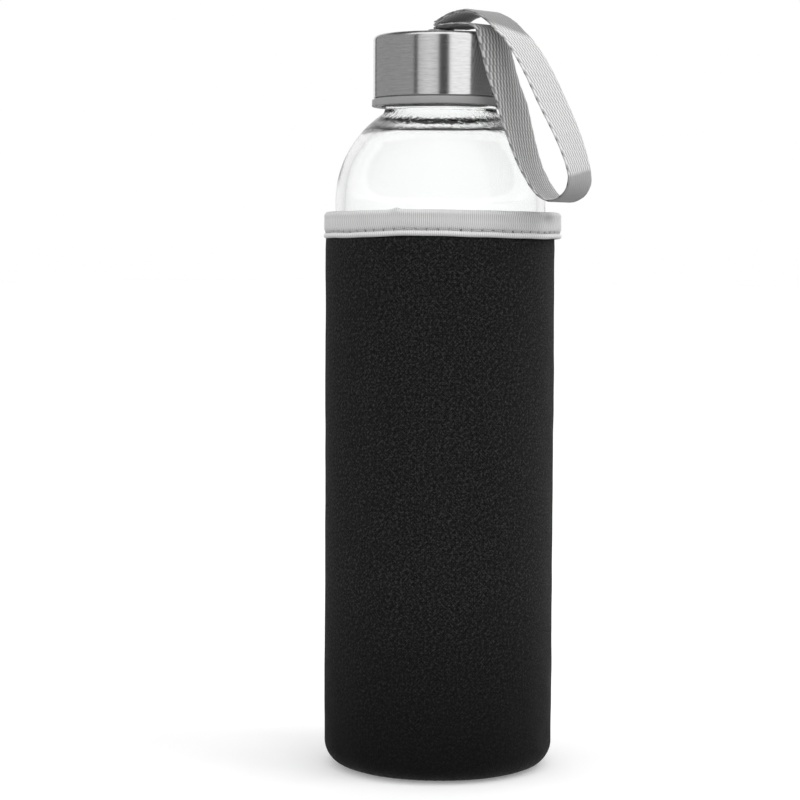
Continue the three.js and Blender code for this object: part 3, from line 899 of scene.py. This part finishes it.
def tape_sag(angle):
    """The tape's edge isn't quite level: it rides up at one place, with a slow wave round the rim."""
    ridden_up = 0.75 * np.exp(-((angle_from(angle, TAPE_HIGH_ANGLE) / 0.55) ** 2)) - 0.25
    return ridden_up + 0.05 * np.cos(7 * angle + 2.1) + 0.04 * np.cos(16 * angle)


def tape_loose(angle):
    """How far the tape stands off where it is pulled out of round."""
    return LOOSE * smoothstep((np.cos(angle - VIEW_AZIMUTH) - 0.3) / 0.7) - 0.15


def rib_place(angle, z):
    """The phase of the tape's ribs, which are closest at the front and the back, and bow to one side."""
    height = (z - STITCH_Z) / (TAPE_TOP_Z - STITCH_Z)
    bow = (1 - (2 * np.clip(height, 0, 1) - 1) ** 2) * np.cos(angle - VIEW_AZIMUTH) * RIB_BOW / TAPE_R
    lean = (0.25 + 0.15 * np.sin(2 * angle + 1)) * height
    rolled = (height < -0.05) * (1.7 + 0.6 * np.sin(5 * angle))
    around = angle - FRONT_ANGLE + bow
    return RIBS * around + CROWDED * np.sin(2 * around) + lean * TURN + rolled


def needle_hole(angle, z):
    """1 in the middle of each hole between two stitches, falling to 0 about it."""
    aside = angle_from(STITCHES * angle, 0) / STITCHES * TAPE_R
    return np.exp(-((aside / 0.36) ** 2)) * np.exp(-(((z - STITCH_Z) / 0.3) ** 2))


def dent_with_shade(angle, z):
    """1 in the middle of the dent and its painted shade, falling to 0 about it."""
    dent_angle, dent_z = TAPE_DENT_AND_SHADE
    aside = angle_from(angle, dent_angle) * TAPE_R
    return np.exp(-((aside / 5) ** 2) - ((z - dent_z) / 2.2) ** 2)


def make_sleeve_side(look):
    corner_r = SLEEVE_R - SLEEVE_CORNER
    wall = SLEEVE_R - SLEEVE_BORE
    turn_in = -72
    profile = arc(corner_r, SLEEVE_CORNER, SLEEVE_CORNER, turn_in, 0, 14)
    profile += straight((SLEEVE_R, SLEEVE_CORNER + 2), (SLEEVE_R, HEM_Z - 1), 78)
    profile += [(SLEEVE_R - 0.1, HEM_Z), (HEM_OUT, HEM_Z + 0.6), (HEM_OUT - 0.1, SLEEVE_TOP_Z - 0.6)]
    profile += [((HEM_OUT + HEM_IN) / 2, SLEEVE_TOP_Z)]
    profile += [(HEM_IN + 0.1, SLEEVE_TOP_Z - 0.6), (HEM_IN, HEM_Z + 0.6), (SLEEVE_BORE, HEM_Z - 1)]
    outer_rows = len(profile) - 3
    profile += straight((SLEEVE_BORE, HEM_Z - 4), (SLEEVE_BORE, SLEEVE_CORNER), 20)
    profile += arc(corner_r, SLEEVE_CORNER, SLEEVE_CORNER - wall, 0, turn_in, 8)

    def stretched(angle, r, z, _):
        wave = ripple(angle, z, 11, 0.07, 8, 70) + ripple(angle, z, 12, 0.03, 26, 12)
        seam = np.exp(-((angle_from(angle, SEAM_ANGLE) * SLEEVE_R / 1.3) ** 2))
        seam = seam * smoothstep((HEM_Z - 1 - z) / 3)
        gather = 0.05 * np.cos(SEAM_WRAPS * angle) * smoothstep((5 - z) / 4)
        change = wave * smoothstep((HEM_Z - z) / 4) - 0.3 * seam + gather
        change[outer_rows:] = 0
        return r + change, z

    grid = lathe_grid(profile, closed=True, shape=stretched, segments=320)
    piece = grid_piece("sleeve_side", [grid], look, 70)
    assign(piece, "sleeve", "sleeve_side_panel")


def make_sleeve_bottom(look):
    radius = FLOOR_R + 0.6
    half = FLOOR_TOP_Z / 2
    profile = [(radius * s, 0.12 * float(smoothstep((1 - s) * 3))) for s in np.linspace(0, 0.92, 20)]
    profile += arc(radius - half, half, half, -80, 90, 8)
    profile += [(radius * s, FLOOR_TOP_Z) for s in np.linspace(0.9, 0, 12)]

    def puckered(angle, r, z, _):
        pucker = 0.05 * np.cos(SEAM_WRAPS * angle) * smoothstep((r - 22) / 6)
        return r, np.maximum(z + pucker * (z < half), 0.02)

    grid = lathe_grid(profile, shape=puckered, segments=320)
    piece = grid_piece("sleeve_bottom", [grid], look, 70)
    assign(piece, "sleeve", "sleeve_bottom_panel")


def make_rim_tape(look):
    segments = 1824
    outer = TAPE_R - 0.12
    fold = 1.5
    mid = TAPE_R - fold
    inner = 32.9
    profile = [(35.3, TAPE_EDGE_Z + 0.9), (35.35, TAPE_EDGE_Z + 0.35)]
    profile += arc(outer - 0.65, TAPE_EDGE_Z + 0.8, 0.8, -110, 50, 8)
    profile += [(outer - 0.2, STITCH_Z - 0.4), (outer - STITCH_GROOVE, STITCH_Z - 0.18)]
    profile += [(outer - STITCH_GROOVE, STITCH_Z + 0.18), (outer - 0.2, STITCH_Z + 0.42)]
    profile += [(outer - 0.03, STITCH_Z + 0.9)]
    profile += [(outer, STITCH_Z + 2), (outer - 0.02, STITCH_Z + 3), (outer - 0.1, TAPE_TOP_Z - fold - 0.5)]
    profile += arc(mid, TAPE_TOP_Z - fold - 0.1, fold - 0.12, 0, 180, 9)
    profile += [(inner, TAPE_TOP_Z - 3), (inner, STITCH_Z), (inner + 0.6, STITCH_Z)]
    profile += [(inner + 0.65, SLEEVE_TOP_Z), (34.3, SLEEVE_TOP_Z + 0.35), (35.1, SLEEVE_TOP_Z)]

    def bound(angle, r, z, _):
        rib = 0.5 + 0.5 * np.cos(rib_place(angle, z))
        high_up = smoothstep((z - STITCH_Z) / (TAPE_TOP_Z - STITCH_Z))
        join = angle_from(angle, TAPE_JOIN_ANGLE) * TAPE_R
        bump = np.exp(-((join / 1.3) ** 2))
        bulge = ripple(angle, z, 21, 0.09, 9, 30)
        outwards = smoothstep((r - inner - 0.8) / 1.6)
        r = r + outwards * (0.14 * rib + bulge + tape_loose(angle) - 0.12 * bump * (1 - high_up))
        r = r - outwards * (0.15 * needle_hole(angle, z) + 0.5 * dent_with_shade(angle, z))
        z = z + tape_sag(angle) * (1 - 0.4 * high_up) + 0.5 * bump * high_up**3 + 0.06 * rib * high_up**4
        return r, z

    grid = lathe_grid(profile, closed=True, shape=bound, segments=segments)
    piece = grid_piece("rim_tape", [grid], look, 180)

    # Painted shade and light in the tape's colour: darker between the ribs, in the stitch groove, in the
    # needle holes and at the dent, lighter on the rolled edge.
    def relief_and_painted_light_at(points):
        angle = np.arctan2(points[:, 1], points[:, 0])
        z = points[:, 2] - tape_sag(angle)
        rib = 0.5 + 0.5 * np.cos(rib_place(angle, z))
        groove = np.exp(-(((z - STITCH_Z) / 0.35) ** 2))
        roll = smoothstep((STITCH_Z - 0.3 - z) / 0.3)
        rib = 0.35 + (rib - 0.35) * (1 - dent_with_shade(angle, z))
        return rib * (1 - 0.5 * groove) + 0.35 * roll - 1.2 * needle_hole(angle, z) - 0.45 * dent_with_shade(angle, z)

    store_values(piece, "relief", relief_and_painted_light_at)
    assign(piece, "sleeve", "sleeve_rim_tape")


def make_tape_stitches(look):
    rng = np.random.default_rng(31)
    grids = []
    radius = TAPE_R - 0.12 - STITCH_GROOVE + 0.3
    for i in range(STITCHES):
        middle = (i + 0.5) * TURN / STITCHES + rng.uniform(-0.004, 0.004)
        half = TURN / STITCHES * 0.4
        share = np.linspace(-1, 1, 11)
        angle = middle + share * half
        z = STITCH_Z + 0.08 + tape_sag(middle) + share * rng.uniform(-0.08, 0.08)
        r = radius + tape_loose(angle) - 0.45 * share**6
        path = round_points(r, angle, z)
        thickness = 0.2 * np.sqrt(np.clip(1 - share**8, 1e-8, 1))
        grids.append(tube_grid(path, thickness, 8))
    piece = grid_piece("rim_tape_stitches", grids, look, 180)
    assign(piece, "sleeve", "rim_tape_stitching")


def make_side_seam(look):
    """Flat overlock down the back: two chains of thread with a zigzag between them."""
    low, high = (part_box("sleeve_side_seam")[i].z / MM for i in (0, 1))
    radius = SLEEVE_R + 0.12
    pitch = 1.7
    z = np.arange(low, high, pitch / 12)
    lane = np.clip(1.35 * np.sin(TURN * (z - low) / pitch), -1, 1) * (SEAM_WIDTH / 2 - 0.15)
    grids = [seam_thread(z, lane, radius + 0.15, 0.2)]
    for side in (-1, 1):
        edge = side * (SEAM_WIDTH / 2 - 0.15) + 0.1 * np.sin(TURN * 2 * (z - low) / pitch)
        lift = 0.12 * np.sin(TURN * 2 * (z - low) / pitch + 1)
        grids.append(seam_thread(z, edge, radius + 0.05 + lift, 0.22))
    piece = grid_piece("side_seam_threads", grids, look, 180)
    assign(piece, "sleeve", "sleeve_side_seam")


def seam_thread(z, aside, radius, thickness):
    """A thread up the side seam; aside is how far it lies from the seam's middle."""
    angle = SEAM_ANGLE + aside / SLEEVE_R
    path = round_points(radius, angle, z)
    radii = np.full(len(z), thickness)
    radii[[0, -1]] = 1e-5
    return tube_grid(path, radii, 6)


def make_bottom_seam(look):
    """Overlock threads that wrap the seam round the bottom."""
    high_r, low, high = cad("sleeve_bottom_seam")
    middle = high_r - (high - low) / 2
    steps = SEAM_WRAPS * 12
    angle = np.arange(steps) * TURN / steps
    turn = SEAM_WRAPS * angle
    r = middle + 0.42 * np.cos(turn)
    z = low + 0.45 + 0.22 * np.sin(turn)
    path = round_points(r, angle, z)
    core = np.stack([middle * np.cos(angle), middle * np.sin(angle), np.full(len(angle), low + 0.45)], 1)
    grids = [tube_grid(path, 0.21, 6, closed=True), tube_grid(core, 0.32, 8, closed=True)]
    piece = grid_piece("bottom_seam_threads", grids, look, 180)
    assign(piece, "sleeve", "sleeve_bottom_seam")


# ---- studio ----
# Brightness of the studio by direction, as (degrees to the right of the camera, brightness).
# What the shiny pieces mirror:
MIRRORED = [
    (-180, 1.0), (-151, 1.0), (-149, 0.06), (-144, 0.06), (-142, 0.36), (-47, 0.38), (-45.5, 0.06),
    (-40.5, 0.06), (-38.5, 0.68), (-20, 0.85), (-5, 0.72), (-2, 0.05), (12, 0.04), (16, 1.2), (65, 1.25),
    (67, 0.5), (73, 0.45), (75, 0.06), (108, 0.06), (112, 1.0), (180, 1.0),
]
# What lights the rest:
LIGHTING = [
    (-180, 0.85), (-120, 0.95), (-60, 1.05), (0, 1.25), (40, 1.05), (80, 0.95), (120, 1.0), (160, 0.95),
    (180, 0.85),
]
# What is seen through the glass:
THROUGH = [
    (-180, 1.1), (-165, 1.03), (-150, 0.88), (-130, 0.62), (-105, 0.36), (-60, 0.45), (0, 0.7), (60, 0.45),
    (105, 0.4), (130, 0.7), (150, 0.92), (165, 1.05), (180, 1.1),
]
OVERHEAD = 0.95  # brightness of the ceiling for the light that falls on things
FROM_BELOW = 0.35
IN_GLASS = 0.75  # brightness of what is reflected by the glass


class Surroundings(Nodes):
    """The studio's surroundings."""

    def blend(self, share, low, high):
        return self.plus(low, self.times(share, self.less(high, low)))

    def between(self, value, start, end):
        inputs = {0: value, 1: start, 2: end}
        return self.node("MapRange", inputs, interpolation_type="SMOOTHSTEP").outputs[0]

    def round_about(self, share, stops):
        brightest = max(level for _, level in stops)
        scaled = [(degrees / 360 + 0.5, level / brightest) for degrees, level in stops]
        return self.times(self.ramp(share, *scaled), brightest)


def make_world():
    world = bpy.data.worlds.new("studio")
    bpy.context.scene.world = world
    world.cycles.sampling_method = "NONE"
    world.use_nodes = True
    w = Surroundings(world.node_tree)
    w.nodes.clear()
    direction = w.node("TexCoord").outputs["Generated"]
    x, y, z = w.node("SeparateXYZ", {0: direction}).outputs
    turned = w.math("DIVIDE", w.math("ARCTAN2", y, x), TURN)
    camera_turn = math.atan2(TO_CAMERA.y, TO_CAMERA.x) / TURN
    share = w.math("FRACT", w.plus(turned, 1.5 - camera_turn))
    ray = w.node("LightPath").outputs
    lighting = w.blend(w.between(z, 0.4, 0.8), w.round_about(share, LIGHTING), OVERHEAD)
    lighting = w.blend(w.between(z, -0.3, 0.1), FROM_BELOW, lighting)
    to_camera = w.plus(w.times(x, TO_CAMERA.x), w.times(y, TO_CAMERA.y))
    above = w.blend(w.between(to_camera, 0.1, 0.3), 0.12, 1.5)
    mirrored = w.blend(w.between(z, 0.5, 0.7), w.round_about(share, MIRRORED), above)
    mirrored = w.blend(ray["Is Singular Ray"], mirrored, IN_GLASS)
    strength = w.blend(ray["Is Glossy Ray"], lighting, mirrored)
    strength = w.blend(ray["Is Transmission Ray"], strength, w.round_about(share, THROUGH))
    strength = w.blend(ray["Is Camera Ray"], strength, 1.0)
    background = w.node("Background", {"Color": grey(1), "Strength": strength})
    w.node("OutputWorld", {0: background.outputs[0]})


def make_floor():
    size = 8
    corners = [(-size, -size, 0), (size, -size, 0), (size, size, 0), (-size, size, 0)]
    mesh = bpy.data.meshes.new("floor")
    mesh.from_pydata(corners, [], [(0, 1, 2, 3)])
    look = Look("pale_floor", Roughness=0.9, Specular_IOR_Level=0.1, Emission_Strength=0.22)
    place = look.object_place()
    look.feed(Base_Color=look.ramp(look.noise(place, 30, 4), (0.3, 0.88), (0.7, 0.92)))
    mesh.materials.append(look.material)
    floor = add_object("floor", mesh)
    floor.location.z = -0.0002
    floor.visible_glossy = False
    floor.visible_diffuse = False


def make_light(name, degrees, height, distance, size, power):
    """A soft box that faces the bottle; degrees are to the right of the camera."""
    turn = math.radians(degrees)
    data = bpy.data.lights.new(name, "AREA")
    data.shape = "RECTANGLE"
    data.size, data.size_y = size
    data.energy = power
    light = add_object(name, data)
    light.location = (TO_CAMERA * math.cos(turn) + TO_RIGHT * math.sin(turn)) * distance + UPWARD * height
    aim = Vector((0, 0, 0.12)) - light.location
    light.rotation_mode = "QUATERNION"
    light.rotation_quaternion = aim.to_track_quat("-Z", "Y")
    light.visible_glossy = False
    light.visible_camera = False
    light.visible_transmission = False


def make_studio():
    bpy.context.scene.view_settings.view_transform = "Standard"
    make_world()
    make_floor()
    make_light("key_right", 70, 0.9, 0.75, (0.5, 0.7), 2.4)


def make_object():
    make_bottle(glass_look())
    make_cap(plastic_look())
    make_cover(steel_look())
    make_seal(silicone_look())
    make_rivet(plain_steel_look())
    make_strap(webbing_look())
    neoprene = neoprene_look()
    black_thread = thread_look("black_thread", 0.006, 0.03)
    make_rim_tape(tape_look())
    make_sleeve_side(neoprene)
    make_sleeve_bottom(neoprene)
    make_tape_stitches(thread_look("grey_thread", 0.36, 0.70))
    make_side_seam(black_thread)
    make_bottom_seam(black_thread)


make_object()
make_studio()
